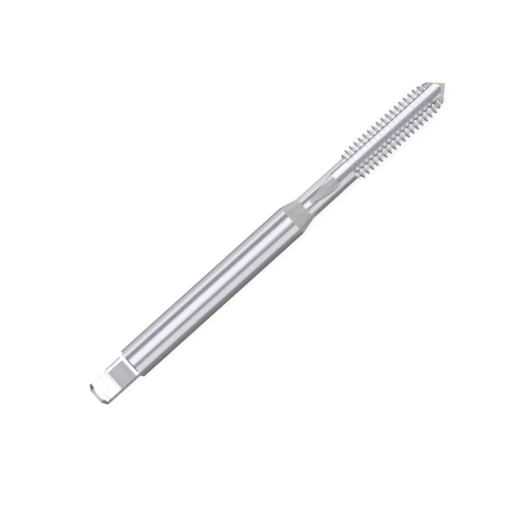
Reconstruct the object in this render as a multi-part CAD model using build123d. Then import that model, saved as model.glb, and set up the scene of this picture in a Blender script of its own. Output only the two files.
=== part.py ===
from build123d import *
import math
import os

# A straight-fluted tap for cutting an M4 x 0.7 thread: square drive, plain shank, thinner neck,
# threaded end with three flutes, tapered lead and male point. It is one piece of ground steel.
# Millimetres. The tool is drawn along its own axis Z, from the square end at 0 to the tip, with
# one flute opening towards its X axis. At the end it is laid along +X with that flute facing up.

# Lengths along the axis, each from the square end
overall_length = 54.5
square_length = 5.7
shank_end = 30.6
neck_start = 32.7
flute_floor_end = 37.6
thread_back = 39.6

# Shank, neck and square drive
shank_diameter = 4.0
neck_diameter = 2.95
end_chamfer_length = 0.65
end_chamfer_depth = 1.0
square_across_flats = 3.15
square_shoulder_radius = 0.4
square_turn = 3.0

# Thread, right-hand, with a groove that starts a little past the back of the thread
thread_diameter = 4.0
pitch = 0.7
thread_flank_angle = 60.0
crest_flat = pitch / 8
thread_depth = 0.6134 * pitch
groove_start = 0.15
thread_back_angle = 45.0

# Tapered lead and point
lead_length = 1.75
point_angle = 90.0
point_diameter = 3.0

# Flutes: angles are taken from the middle of a flute, and the cutting edge is ahead of the heel
flute_count = 3
core_diameter = 1.3
flute_radius = 2.28
flute_lean = 17.3
flute_root_radius = 0.15
cutting_edge_angle = 30.2
hook_angle = 29.0
heel_angle = 29.5
flute_runout = 4.0
runout_lean = 31.0

# How far a cutter stands clear of the steel, and how far a groove runs past the sides of a land
clearance = 0.6
groove_overrun = 0.04
land_overrun = 12.0

shank_radius = shank_diameter / 2
neck_radius = neck_diameter / 2
thread_radius = thread_diameter / 2
core_radius = core_diameter / 2
point_radius = point_diameter / 2
widest_radius = max(shank_radius, thread_radius)
cutter_reach = widest_radius + clearance
thread_back_rise = (thread_radius - neck_radius) / math.tan(math.radians(thread_back_angle))
lead_end = overall_length - point_radius / math.tan(math.radians(point_angle / 2))
lead_start = lead_end - lead_length
flute_centre_radius = core_radius + flute_radius


def polar(radius, angle):
    """A point of the cross-section, its angle taken from the middle of the flute to the heel."""
    return Vector(radius * math.cos(math.radians(angle)), radius * math.sin(math.radians(angle)))


def turned_blank():
    """The blank before the flutes and the thread: chamfered shank, cone, neck, lead and point."""
    outline = [
        (0, 0),
        (shank_radius - end_chamfer_depth, 0),
        (shank_radius, end_chamfer_length),
        (shank_radius, shank_end),
        (neck_radius, neck_start),
        (neck_radius, thread_back),
        (thread_radius, thread_back + thread_back_rise),
        (thread_radius, lead_start),
        (point_radius, lead_end),
        (0, overall_length),
    ]
    return revolve(Plane.XZ * make_face(Polyline(*outline, close=True)), Axis.Z)


def square_cutters():
    """Four cutters that leave the square, with a rounded shoulder where each flat runs out."""
    flat = square_across_flats / 2
    shoulder = (flat, square_length)
    outline = [(flat, -clearance), (cutter_reach, -clearance), (cutter_reach, square_length), shoulder]
    section = make_face(Polyline(*outline, close=True))
    section = fillet(section.vertices().sort_by_distance(shoulder)[0], square_shoulder_radius)
    cutter = extrude(Plane.XZ * section, cutter_reach, both=True)
    return [Rot(0, 0, square_turn + 90 * side) * cutter for side in range(4)]


def flute_section():
    """One flute: a hooked cutting face, a filleted root, a round floor and a straight heel."""
    centre = polar(flute_centre_radius, -flute_lean)
    deepest = polar(core_radius, -flute_lean)
    edge = polar(thread_radius, -cutting_edge_angle)
    inward = -polar(1, hook_angle - cutting_edge_angle)
    # The foot of the cutting face is where its line meets the floor's circle a second time
    nearest = edge + inward * (centre - edge).dot(inward)
    foot = nearest + inward * math.sqrt(flute_radius**2 - (centre - nearest).length ** 2)
    heel_side = polar(thread_radius, heel_angle).Y
    heel = Vector(centre.X - math.sqrt(flute_radius**2 - (heel_side - centre.Y) ** 2), heel_side)
    face_top = edge - inward * cutter_reach
    heel_top = Vector(face_top.X, heel_side)
    floor = ThreePointArc(foot, deepest, heel)
    section = make_face([floor, Polyline(heel, heel_top, face_top, foot)])
    return fillet(section.vertices().sort_by_distance(foot)[0], flute_root_radius)


def flute_cutters():
    """The flutes: straight from the tip, then lifting out of the neck along a straight ramp."""
    section = Pos(0, 0, flute_floor_end) * flute_section()
    straight = extrude(section, overall_length + clearance - flute_floor_end)
    # Over the run-out the cutter lifts until its round floor just clears the neck
    away = flute_centre_radius * math.cos(math.radians(runout_lean + flute_lean))
    clear = (neck_radius + flute_radius) ** 2 - flute_centre_radius**2
    lift = math.sqrt(away**2 + clear) - away
    runout = polar(lift, runout_lean) - Vector(0, 0, flute_runout)
    ramp = extrude(section, runout.length * cutter_reach / lift, dir=runout.normalized())
    turns = [Rot(0, 0, 360 / flute_count * number) for number in range(flute_count)]
    return [turn * cutter for turn in turns for cutter in (straight, ramp)]


def thread_groove(first_angle, last_angle):
    """A stretch of the thread's groove, swept along the right-hand helix from angle to angle."""
    slope = math.tan(math.radians(thread_flank_angle / 2))
    mouth = (pitch - crest_flat) / 2 + groove_overrun * slope
    root = mouth - (groove_overrun + thread_depth) * slope
    outer = thread_radius + groove_overrun
    inner = thread_radius - thread_depth
    outline = [(outer, -mouth), (inner, -root), (inner, root), (outer, mouth)]
    section = Plane.XZ * make_face(Polyline(*outline, close=True))
    turns = (last_angle - first_angle) / 360
    helix = Helix(pitch=pitch, height=pitch * turns, radius=thread_radius)
    groove = sweep(section, path=helix, is_frenet=True)
    return Pos(0, 0, pitch * first_angle / 360) * Rot(0, 0, first_angle) * groove


def thread_cutters():
    """The groove across every land in turn, so that each stretch ends in the open flutes."""
    land_end = 360 / flute_count - cutting_edge_angle
    groove = thread_groove(heel_angle - land_overrun, land_end + land_overrun)
    last_turn = math.ceil((lead_end - thread_back) / pitch)
    cutters = []
    for land in range(-flute_count, flute_count * last_turn):
        turn = land / flute_count
        place = thread_back + groove_start + pitch * turn
        cutters.append(Pos(0, 0, place) * Rot(0, 0, 360 * turn) * groove)
    return cutters


def thread_tap():
    """The finished tool along its own axis."""
    fluted = turned_blank() - square_cutters() - flute_cutters()
    return fluted - thread_cutters()


# The tool lies along +X on the plane Z = 0, with the origin below the middle of its length
lie_down = Plane((-overall_length / 2, 0, widest_radius), x_dir=(0, 0, 1), z_dir=(1, 0, 0))
node = lie_down.location * thread_tap().solid()
node.label = "thread_tap"
os.makedirs("parts", exist_ok=True)
export_step(node, "parts/thread_tap.step")
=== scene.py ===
import math

import bpy
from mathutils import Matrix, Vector


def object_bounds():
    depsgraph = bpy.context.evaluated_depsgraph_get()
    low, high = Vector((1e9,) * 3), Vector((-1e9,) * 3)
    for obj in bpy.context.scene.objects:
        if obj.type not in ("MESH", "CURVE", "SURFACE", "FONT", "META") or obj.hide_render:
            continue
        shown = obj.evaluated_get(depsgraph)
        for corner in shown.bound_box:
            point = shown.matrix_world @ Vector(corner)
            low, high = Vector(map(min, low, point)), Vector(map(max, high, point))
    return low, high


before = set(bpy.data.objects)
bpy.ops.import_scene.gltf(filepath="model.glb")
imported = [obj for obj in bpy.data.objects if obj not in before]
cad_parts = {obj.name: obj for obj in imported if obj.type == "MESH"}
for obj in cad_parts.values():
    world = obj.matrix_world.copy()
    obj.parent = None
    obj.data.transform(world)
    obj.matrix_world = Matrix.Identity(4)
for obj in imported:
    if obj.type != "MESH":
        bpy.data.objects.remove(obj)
cad_low, cad_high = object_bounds()

# The tap in millimetres: its radii, and then each place along it, measured from the square end
MM = 0.001
WIDEST_RADIUS = (cad_high.z - cad_low.z) / MM / 2
NECK_RADIUS = 1.475
POINT_RADIUS = 1.5
SQUARE_SIDES = 4
FLUTE_COUNT = 3
END_CHAMFER = 0.65
GREY_FLAT_START = 2.95
PLAIN_GREY_START = 3.2
PLAIN_GREY_END = 4.55
GREY_FLAT_END = 5.15
SHOULDER_START = 5.5
SQUARE_LENGTH = 5.7
RUNOUT_START = 29.95
SHANK_END = 30.6
NECK_START = 32.7
THREAD_BACK = 39.6
TEETH_START = 40.0
THREAD_BACK_END = 40.125
LEAD_START = 51.25
TEETH_END = 51.45
LEAD_END = 53.0
LEAD_SLOPE = (WIDEST_RADIUS - POINT_RADIUS) / (LEAD_END - LEAD_START)

# The picture: how many millimetres it spans, the point of the tap in its middle, and its roll
PICTURE_SPAN = 59.5
PICTURE_MIDDLE = (24.76, -0.265)
PICTURE_ROLL = 41.95
CAMERA_HEIGHT = 600.0
SENSOR_WIDTH = 36.0

# The soft panels and the room. The room's stops run from behind the square end to beyond the point
PANEL_REACH = 300.0
PANEL_START = -700.0
PANEL_END = 100.0
ROOM_GAP = (0.56, 0.55, 0.61)
ROOM_STOPS = [(0.0, 1.4), (0.3, 1.0), (0.44, ROOM_GAP), (0.56, ROOM_GAP), (0.68, 0.95)]
ROOM_DIMMING = 0.5

# The cards beside the tap: how far they reach, how near they come to it, and how bright they are
CARD_REACH = 600.0
CARD_START = -700.0
CARD_END = 700.0
CARD_HEIGHT = 0.05
CARD_GAP = 0.3
GREY_NEAR = -3.0
BRIGHT_NEAR = 5.0
NECK_CARD_NEAR = 2.7
NECK_CARD_FAR = 12.0
SQUARE_CARD_NEAR = 1.6
SQUARE_CARD_FAR = 4.9
GREY_CARD = (0.49, 0.49, 0.475, 1.0)
BRIGHT_CARD = (1.28, 1.27, 1.3, 1.0)
NECK_CARD = (1.68, 1.67, 1.72, 1.0)
SQUARE_CARD = (2.0, 2.0, 2.0, 1.0)

# The floor: its own glow, and how bright a white one is in the light of this studio
FLOOR_HALF_WIDTH = 4000.0
FLOOR_COLOUR = (0.88, 0.88, 0.88, 1.0)
FLOOR_GLOW = 0.68
FLOOR_LIGHT = 1.02

# How wide the soft border between two finishes is, in millimetres or in the measure it goes by
HAIR = 0.02
CRISP = 0.05
SOFT = 0.1


def place(x, y, z):
    """A point in metres, from millimetres along the tap, to its side and above the floor."""
    return Vector((x * MM + cad_low.x, y * MM, z * MM))


class Shade:
    """A socket of a shader tree. Plain arithmetic on it adds Math nodes, and node() adds any other."""

    def __init__(self, tree, socket=None):
        self.tree = tree
        self.socket = socket

    def node(self, kind, settings=None, values=None, output=0):
        """Adds a node: first its settings, then the value or the link of each socket."""
        node = self.tree.nodes.new(kind)
        for name, setting in (settings or {}).items():
            if name == "stops":
                set_stops(node.color_ramp, setting)
            else:
                setattr(node, name, setting)
        for name, value in (values or {}).items():
            if isinstance(value, Shade):
                self.tree.links.new(value.socket, node.inputs[name])
            else:
                node.inputs[name].default_value = value
        return Shade(self.tree, node.outputs[output] if node.outputs else None)

    def output(self, name):
        """Another output of the node that this socket belongs to."""
        return Shade(self.tree, self.socket.node.outputs[name])

    def maths(self, operation, *others):
        """A Math node on this value and, after it, any others."""
        return self.node("ShaderNodeMath", {"operation": operation}, dict(enumerate((self, *others))))

    def __add__(self, other):
        return self.maths("ADD", other)

    def __sub__(self, other):
        return self.maths("SUBTRACT", other)

    def __rsub__(self, other):
        return self.node("ShaderNodeMath", {"operation": "SUBTRACT"}, {0: other, 1: self})

    def __mul__(self, other):
        return self.maths("MULTIPLY", other)

    def __truediv__(self, other):
        return self.maths("DIVIDE", other)

    __radd__ = __add__
    __rmul__ = __mul__

    def past(self, edge, width):
        """0 below the edge and 1 above it, with a soft step of the given width."""
        step = {"Value": self, "From Min": edge - width / 2, "From Max": edge + width / 2}
        return self.node("ShaderNodeMapRange", {"interpolation_type": "SMOOTHSTEP"}, step)

    def between(self, start, end, width):
        """1 from the start to the end and 0 elsewhere, with a soft step at each."""
        return self.past(start, width) * (1 - self.past(end, width))


def set_stops(ramp, stops):
    """Gives a colour ramp its stops, each a position and a grey or a colour."""
    for number, (position, colour) in enumerate(stops):
        stop = ramp.elements[number] if number < 2 else ramp.elements.new(position)
        stop.position = position
        stop.color = (*colour, 1.0) if isinstance(colour, tuple) else (colour, colour, colour, 1.0)


def new_material(name):
    """A new material, and the start of its empty shader tree."""
    material = bpy.data.materials.new(name)
    material.use_nodes = True
    material.node_tree.nodes.clear()
    return material, Shade(material.node_tree)


def flat_card(name, corners, material):
    """A card of the studio, such as its floor: one flat face between four corners."""
    mesh = bpy.data.meshes.new(name)
    mesh.from_pydata(corners, [], [(0, 1, 2, 3)])
    mesh.materials.append(material)
    card = bpy.data.objects.new(name, mesh)
    bpy.context.scene.collection.objects.link(card)
    return card


def panel(name, angle, spread, level, tint):
    """A soft panel along the tap, at an angle from straight up that is positive towards +Y.

    The spread is the angle that it fills as the tap sees it, and at a level of 1 it shows as white.
    """
    turn = math.radians(angle)
    width = 2 * PANEL_REACH * math.tan(math.radians(spread / 2)) * MM
    length = (PANEL_END - PANEL_START) * MM
    data = bpy.data.lights.new(name, "AREA")
    data.shape = "RECTANGLE"
    data.size = length
    data.size_y = width
    data.color = tint
    data.energy = level * math.pi * length * width
    lamp = bpy.data.objects.new(name, data)
    along = (PANEL_START + PANEL_END) / 2
    lamp.location = place(along, PANEL_REACH * math.sin(turn), PANEL_REACH * math.cos(turn))
    lamp.rotation_euler = (-turn, 0, 0)
    lamp.visible_camera = False
    bpy.context.scene.collection.objects.link(lamp)


def room():
    """The pale room: lighter behind the square end, and dimmer across the tap."""
    world = bpy.data.worlds.new("pale_room")
    world.use_nodes = True
    world.node_tree.nodes.clear()
    shade = Shade(world.node_tree)
    direction = shade.node("ShaderNodeTexCoord", output="Generated")
    along = shade.node("ShaderNodeSeparateXYZ", values={"Vector": direction})
    colour = shade.node("ShaderNodeValToRGB", {"stops": ROOM_STOPS}, {"Fac": (along + 1) / 2})
    # Past the point it is darker near the floor, so that the shank keeps its bands from that side too
    past_point = along.between(0.6, 0.92, SOFT)
    near_floor = 1 - along.output("Z").past(0.42, width=0.4)
    strength = 1 - past_point * near_floor * ROOM_DIMMING
    light = shade.node("ShaderNodeBackground", values={"Color": colour, "Strength": strength})
    shade.node("ShaderNodeOutputWorld", values={"Surface": light})
    bpy.context.scene.world = world


def reflector(name, colour, low, high, start=CARD_START, end=CARD_END, height=CARD_HEIGHT):
    """A card beside the tap, between two places to its side, that only the steel reflects."""
    material, shade = new_material(name)
    light = shade.node("ShaderNodeEmission", values={"Color": colour})
    shade.node("ShaderNodeOutputMaterial", values={"Surface": light})
    sides = [(start, low), (end, low), (end, high), (start, high)]
    card = flat_card(name, [place(x, y, height) for x, y in sides], material)
    card.visible_camera = False
    card.visible_diffuse = False
    card.visible_shadow = False


def studio():
    """Three panels and the room for the bands along the steel, and cards for its two edges."""
    panel("top_panel", angle=11.0, spread=48.0, level=1.5, tint=(0.97, 0.955, 1.0))
    panel("right_panel", angle=-59.5, spread=47.0, level=0.98, tint=(0.985, 0.975, 1.0))
    panel("left_panel", angle=79.0, spread=21.0, level=1.35, tint=(0.975, 0.965, 1.0))
    room()
    # The right edge is dark, but not on the turned cone, which lies between the two grey cards
    reflector("grey_shank_card", GREY_CARD, -CARD_REACH, GREY_NEAR, end=SHANK_END + CARD_GAP)
    reflector("grey_neck_card", GREY_CARD, -CARD_REACH, GREY_NEAR, NECK_START + CARD_GAP, LEAD_END)
    # The left edge is light, and lightest on the neck and on the square's upright flat
    reflector("bright_card", BRIGHT_CARD, BRIGHT_NEAR, CARD_REACH)
    reflector("bright_neck_card", NECK_CARD, NECK_CARD_NEAR, NECK_CARD_FAR,
              NECK_START, THREAD_BACK, 2 * CARD_HEIGHT)
    reflector("bright_square_card", SQUARE_CARD, SQUARE_CARD_NEAR, SQUARE_CARD_FAR,
              CARD_GAP, SHOULDER_START)


def white_card():
    """Floor card: white to the eye and in the steel's reflections, with the tap's soft shadow kept."""
    material, shade = new_material("white_card")
    path = shade.node("ShaderNodeLightPath", output="Is Camera Ray")
    seen = path.maths("MAXIMUM", path.output("Is Glossy Ray"))
    seen = seen.maths("MAXIMUM", path.output("Is Transmission Ray"))
    card = shade.node("ShaderNodeBsdfDiffuse", values={"Color": FLOOR_COLOUR})
    glow = shade.node("ShaderNodeEmission", values={"Strength": FLOOR_GLOW})
    rest = (1 - FLOOR_GLOW) / FLOOR_LIGHT
    shadow = shade.node("ShaderNodeBsdfDiffuse", values={"Color": (rest, rest, rest, 1.0)})
    white = shade.node("ShaderNodeAddShader", values={0: glow, 1: shadow})
    surface = shade.node("ShaderNodeMixShader", values={"Fac": seen, 1: card, 2: white})
    shade.node("ShaderNodeOutputMaterial", values={"Surface": surface})
    return material


def floor():
    """The pale floor that the tap lies on."""
    half = FLOOR_HALF_WIDTH * MM
    corners = [(-half, -half, 0), (half, -half, 0), (half, half, 0), (-half, half, 0)]
    flat_card("floor", corners, white_card())


def camera():
    """The camera: straight above the tap, rolled so that the tap rises to the right."""
    data = bpy.data.cameras.new("camera")
    data.sensor_width = SENSOR_WIDTH
    data.lens = SENSOR_WIDTH * (CAMERA_HEIGHT - WIDEST_RADIUS) / PICTURE_SPAN
    view = bpy.data.objects.new("camera", data)
    view.location = place(*PICTURE_MIDDLE, CAMERA_HEIGHT)
    view.rotation_euler = (0, 0, -math.radians(PICTURE_ROLL))
    bpy.context.scene.collection.objects.link(view)
    bpy.context.scene.camera = view


# Steel: how much light each surface gives back, with painted light and shade on some of them. First the
# shank, the turned parts and the flutes
GROUND = (0.455, 0.45, 0.468, 1.0)
RUNOUT = (0.465, 0.465, 0.46, 1.0)
TURNED = (0.45, 0.45, 0.45, 1.0)
POINT = (0.57, 0.572, 0.567, 1.0)
NECK = (0.46, 0.459, 0.465, 1.0)
FLUTE = (0.51, 0.505, 0.522, 1.0)
# Painted shade on the heel's side of the flute floor
FLUTE_HEEL_SHADE = (0.39, 0.387, 0.398, 1.0)
POINT_FLUTE = (0.5, 0.508, 0.486, 1.0)
# Painted shadow along the ramp's edge
RAMP_EDGE_SHADOW = (0.25, 0.25, 0.25, 1.0)
# Painted highlight: the bright side of the ramp
RAMP_SIDE_HIGHLIGHT = (0.8, 0.79, 0.82, 1.0)

# The square's colours: polished flats, cross lines and a sawn end, with a painted grey reflection on the
# flats, painted highlights on the round corners and painted shade on the chamfer's corners and the shoulder
POLISHED = (0.53, 0.525, 0.54, 1.0)
CROSS_LINE = (0.44, 0.43, 0.475, 1.0)
# Painted reflection: a grey middle on the flats, with violet edges
GREY_FLAT_REFLECTION = (0.34, 0.34, 0.345, 1.0)
VIOLET_REFLECTION_EDGE = (0.33, 0.325, 0.36, 1.0)
# Painted highlight: the round corners are brighter, also under their cross lines
CORNER_HIGHLIGHT = (0.6, 0.6, 0.61, 1.0)
CORNER_HIGHLIGHT_LINE = (0.49, 0.48, 0.52, 1.0)
SAWN = (0.48, 0.48, 0.48, 1.0)
CHAMFER = (0.56, 0.56, 0.565, 1.0)
# Painted shade on the chamfer's corners
CHAMFER_CORNER_SHADE = (0.22, 0.22, 0.225, 1.0)
# Painted shade on the shoulder
SHOULDER_SHADE = (0.3, 0.29, 0.33, 1.0)

# The thread: painted light in the valleys, a ground lead, and painted shade on the crest edges and the back
# that face the square
VALLEY_PAINTED_LIGHT = (0.85, 0.85, 0.86, 1.0)
LEAD = (0.42, 0.42, 0.43, 1.0)
TOOTH_EDGE_SHADE = (0.17, 0.17, 0.18, 1.0)
BACK_SHADE = (0.14, 0.14, 0.14, 1.0)

# How rough ground steel is, what each kind of part adds or takes away, and how its fine lines show.
# EDGE_TINT holds back how much the steel brightens at a flat angle
GROUND_ROUGHNESS = 0.22
MATTE_ROUGHNESS = 0.28
VALLEY_ROUGHNESS = 0.2
POLISH = 0.12
LINE_ROUGHNESS = 0.06
LINE_BUMP = 0.03
LINE_DEPTH = 0.00001
GROUND_STREAKS = 0.08
MATTE_STREAKS = 0.4
EDGE_TINT = (0.35, 0.35, 0.35, 1.0)

# How much of a valley's steel is dull, so that its painted light shows from every side. Two reflections in a
# groove would leave bright steel dark there
VALLEY_DULLNESS = 0.5

# Fine lines: how many spots of noise there are for each millimetre along the tap and across it
RINGS = (9.0, 0.25, 0.25)
STROKES = (0.5, 2.6, 2.6)
CROSS_LINES = (3.1, 0.12, 0.12)
CROSS_LINE_LEVEL = 0.53

# Leans by which the faces are told apart: 0 faces straight out, 1 the tip, and -1 the square end
STEEP_LEAN = 0.45
SHOULDER_LEAN = -0.5
SAWN_LEAN = -0.93
RAMP_LEAN = 0.1
TIP_LEAN = 0.4

# From here on a face looks straight away from the axis, as the round outside does
ROUND_FACING = 0.955

# Millimetres that tell zones apart: in from the crest, out from the axis, or off a flat's or flute's middle
CUT_DEPTH = 0.03
STROKE_DEPTH = 0.2
ROUND_CORNER_RADIUS = 1.9
RAMP_EDGE_RADIUS = 1.37
CHAMFER_CORNER_OFF = 0.88
RAMP_SIDE_OFF = -0.6
RAMP_EDGE_OFF = 0.15
HEEL_OFF = 0.27
LAND_OFF = 1.3

# How much of the painted shade on the thread's crest edges and back is left at the sides of a land
SIDE_STROKE_SHADE = 0.55
SIDE_BACK_SHADE = 0.25


class Spot:
    """Where a point of the steel lies on the tap, in millimetres, and which way its surface faces."""

    def __init__(self, shade):
        point = shade.node("ShaderNodeTexCoord", output="Object")
        point = shade.node("ShaderNodeVectorMath", {"operation": "SCALE"}, {0: point, "Scale": 1 / MM})
        square_end = (cad_low.x / MM, 0.0, WIDEST_RADIUS)
        self.point = shade.node("ShaderNodeVectorMath", {"operation": "SUBTRACT"}, {0: point, 1: square_end})
        self.x = shade.node("ShaderNodeSeparateXYZ", values={"Vector": self.point})
        side = -1 * self.x.output("Y")
        self.turn = side.maths("ARCTAN2", self.x.output("Z"))
        across = {0: self.point, 1: (0.0, 1.0, 1.0)}
        outward = shade.node("ShaderNodeVectorMath", {"operation": "MULTIPLY"}, across)
        self.radius = shade.node("ShaderNodeVectorMath", {"operation": "LENGTH"}, {0: outward}, "Value")
        normal = shade.node("ShaderNodeNewGeometry", output="Normal")
        self.lean = shade.node("ShaderNodeSeparateXYZ", values={"Vector": normal})
        self.steep = self.lean.maths("ABSOLUTE").past(STEEP_LEAN, SOFT)
        dot = {0: normal, 1: outward}
        facing = shade.node("ShaderNodeVectorMath", {"operation": "DOT_PRODUCT"}, dot, "Value") / self.radius
        outside = facing.past(ROUND_FACING, HAIR) * self.radius.past(NECK_RADIUS - CUT_DEPTH, HAIR)
        self.inside = 1 - outside

    def off_middle(self, count):
        """How far it lies to the side of the nearest of so many lines that are spaced round the tap."""
        turn = self.turn.maths("WRAP", math.pi / count, -math.pi / count)
        return self.radius * turn.maths("SINE")


def blend(mask, below, above):
    """A number that goes from one value to another as the mask goes from 0 to 1."""
    return below + mask * (above - below)


def mix_colours(shade, mask, below, above):
    """A colour that goes from one to another as the mask goes from 0 to 1."""
    return shade.node("ShaderNodeMix", {"data_type": "RGBA"}, {"Factor": mask, 6: below, 7: above}, 2)


def grain(shade, spot, stretch, octaves=2.0):
    """Fine lines: noise on a point of the tap, with so many spots for each millimetre."""
    scaled = shade.node("ShaderNodeVectorMath", {"operation": "MULTIPLY"}, {0: spot.point, 1: stretch})
    return shade.node("ShaderNodeTexNoise", values={"Vector": scaled, "Scale": 1.0, "Detail": octaves})


def turned_finishes(spot):
    """The turned parts: the shank's greyer end, the matte cone and point, and the neck between them."""
    runout = spot.x.between(RUNOUT_START, SHANK_END, SOFT)
    cone = spot.x.between(SHANK_END, NECK_START, CRISP)
    neck = spot.x.between(NECK_START, THREAD_BACK, CRISP)
    point = spot.x.past(LEAD_END, SOFT)
    tip = point * spot.lean.past(TIP_LEAN, SOFT)
    turned = cone + point
    return [(turned, TURNED), (neck, NECK), (runout, RUNOUT), (tip, POINT)], turned, cone + tip


def flute_finishes_and_painted_light(spot):
    """The flutes: a ground floor with painted shade on its heel's side, and where it lifts a matte ramp with
    a painted highlight band beside it and a painted shadow along its edge.
    """
    flute = spot.x.past(NECK_START, SOFT) * spot.inside * (1 - spot.steep)
    lifted = flute * spot.lean.past(RAMP_LEAN, CRISP)
    ground = flute - lifted
    in_point = flute * spot.x.past(LEAD_END, SOFT)
    to_heel = spot.off_middle(FLUTE_COUNT)
    ramp = lifted * to_heel.past(RAMP_SIDE_OFF, width=0.15)
    # Painted shadow: a dark line along the ramp's edge, on the heel's side
    edge = ramp * to_heel.past(RAMP_EDGE_OFF, SOFT) * spot.radius.past(RAMP_EDGE_RADIUS, width=0.08)
    # Painted shade: the heel's side of the floor is darker where no teeth stand beside it
    heel = ground * to_heel.past(HEEL_OFF, width=0.2)
    heel = heel * (1 - spot.x.between(TEETH_START, TEETH_END, width=0.6))
    # The ramp's bright side is a painted highlight
    finishes_and_painted_light = [(ground, FLUTE), (in_point, POINT_FLUTE), (heel, FLUTE_HEEL_SHADE),
                (lifted - ramp, RAMP_SIDE_HIGHLIGHT), (edge, RAMP_EDGE_SHADOW)]
    return finishes_and_painted_light, flute, ramp


def square_finishes_and_painted_light(shade, spot):
    """The square: bright flats with a painted grey reflection in their middle, faint cross lines, painted
    highlights on the round corners, a sawn end with painted shade on its chamfer's corners, and painted
    shade on the shoulder.
    """
    bright = 1 - spot.x.past(SQUARE_LENGTH - CRISP, SOFT)
    far_out = spot.radius.past(ROUND_CORNER_RADIUS, CRISP)
    flat = bright * spot.inside.maths("MAXIMUM", 1 - far_out) * (1 - spot.steep)
    # Painted highlight: the round corners are brighter
    corner = bright * (1 - spot.inside) * far_out
    cross_lines = grain(shade, spot, CROSS_LINES).past(CROSS_LINE_LEVEL, SOFT)
    # Painted reflection: a grey middle on the flats, with violet edges
    grey = flat * spot.x.between(GREY_FLAT_START, GREY_FLAT_END, width=0.16)
    violet = grey * (1 - spot.x.between(PLAIN_GREY_START, PLAIN_GREY_END, width=0.25))
    end = 1 - spot.x.past(END_CHAMFER, CRISP)
    chamfer = end * spot.lean.past(SAWN_LEAN, CRISP)
    off_flat = spot.off_middle(SQUARE_SIDES).maths("ABSOLUTE")
    # Painted shade: darker corners on the end chamfer
    chamfer_corner = end * off_flat.past(CHAMFER_CORNER_OFF, width=0.3)
    # Painted shade: a dark shoulder wall
    shoulder = spot.x.between(SHOULDER_START, SQUARE_LENGTH + CRISP, CRISP)
    shoulder = shoulder * (1 - spot.lean.past(SHOULDER_LEAN, SOFT))
    finishes_and_painted_light = [(bright, POLISHED), (bright * cross_lines, CROSS_LINE), (grey, GREY_FLAT_REFLECTION),
                (violet, VIOLET_REFLECTION_EDGE), (corner, CORNER_HIGHLIGHT), (corner * cross_lines, CORNER_HIGHLIGHT_LINE),
                (end, SAWN), (chamfer, CHAMFER), (chamfer_corner, CHAMFER_CORNER_SHADE), (shoulder, SHOULDER_SHADE)]
    return finishes_and_painted_light, grey, bright - grey


def thread_finishes_and_painted_light(spot):
    """The thread: valleys and flanks painted bright, painted shade on the crest edges and the back that face
    the square, a ground lead.
    """
    toothed = spot.x.between(THREAD_BACK, LEAD_END, width=0.2)
    crest = POINT_RADIUS + (LEAD_END - spot.x) * LEAD_SLOPE
    depth = crest.maths("MINIMUM", WIDEST_RADIUS) - spot.radius
    cut = depth.past(CUT_DEPTH, HAIR)
    # Painted light: the valleys and flanks are bright and partly dull
    valley = toothed * (1 - spot.inside * (1 - spot.steep)) * cut
    lead = spot.x.between(LEAD_START, LEAD_END, SOFT) * (1 - spot.inside) * (1 - cut)
    to_square = 1 - spot.lean.past(-STEEP_LEAN, SOFT)
    land_middle = spot.off_middle(FLUTE_COUNT).maths("ABSOLUTE").past(LAND_OFF, width=0.6)
    # Painted shade: dark strokes near the crest on the flanks that face the square
    edge = toothed * to_square * (1 - depth.past(STROKE_DEPTH, width=0.2))
    edge = edge * blend(land_middle, SIDE_STROKE_SHADE, 1.0)
    # Painted shade on the thread's back
    back = to_square * spot.x.between(THREAD_BACK - CRISP, THREAD_BACK_END, CRISP)
    back = back * blend(land_middle, SIDE_BACK_SHADE, 1.0)
    return [(valley, VALLEY_PAINTED_LIGHT), (lead, LEAD), (edge, TOOTH_EDGE_SHADE), (back, BACK_SHADE)], valley


def steel():
    """Ground steel, finished in its own way on each part of the tap, with painted light and shade on some
    parts.
    """
    material, shade = new_material("ground_steel")
    spot = Spot(shade)
    turned_zones, turned, turned_matte = turned_finishes(spot)
    flute_zones, flute, ramp = flute_finishes_and_painted_light(spot)
    square_zones, grey, polished = square_finishes_and_painted_light(shade, spot)
    thread_zones, valley = thread_finishes_and_painted_light(spot)
    colour = GROUND
    # The finishes and the painted light and shade go over each other in turn
    for mask, finish_or_painted_light in turned_zones + flute_zones + square_zones + thread_zones:
        colour = mix_colours(shade, mask, colour, finish_or_painted_light)

    # Fine lines run round the ground shank, and lengthwise in the flutes and on the turned parts
    rings = grain(shade, spot, RINGS)
    strokes = grain(shade, spot, STROKES, octaves=4.0)
    lines = blend(flute.maths("MAXIMUM", turned), rings, strokes)
    ripple = lines - 0.5
    matte = turned_matte + ramp + grey
    streaks = 1 + ripple * (GROUND_STREAKS + matte * MATTE_STREAKS)
    colour = shade.node("ShaderNodeVectorMath", {"operation": "SCALE"}, {0: colour, "Scale": streaks})
    roughness = GROUND_ROUGHNESS + matte * MATTE_ROUGHNESS + valley * VALLEY_ROUGHNESS
    roughness = roughness - polished * POLISH + ripple * LINE_ROUGHNESS
    relief = {"Height": lines, "Strength": LINE_BUMP, "Distance": LINE_DEPTH}
    surface = shade.node("ShaderNodeBsdfPrincipled", values={
        "Base Color": colour,
        "Metallic": 1 - valley * VALLEY_DULLNESS,
        "Roughness": roughness,
        "Specular Tint": EDGE_TINT,
        "Normal": shade.node("ShaderNodeBump", values=relief),
    })
    shade.node("ShaderNodeOutputMaterial", values={"Surface": surface})
    return material


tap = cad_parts["thread_tap"]
tap.data.materials.clear()
tap.data.materials.append(steel())
studio()
floor()
camera()
bpy.context.scene.view_settings.view_transform = "Standard"
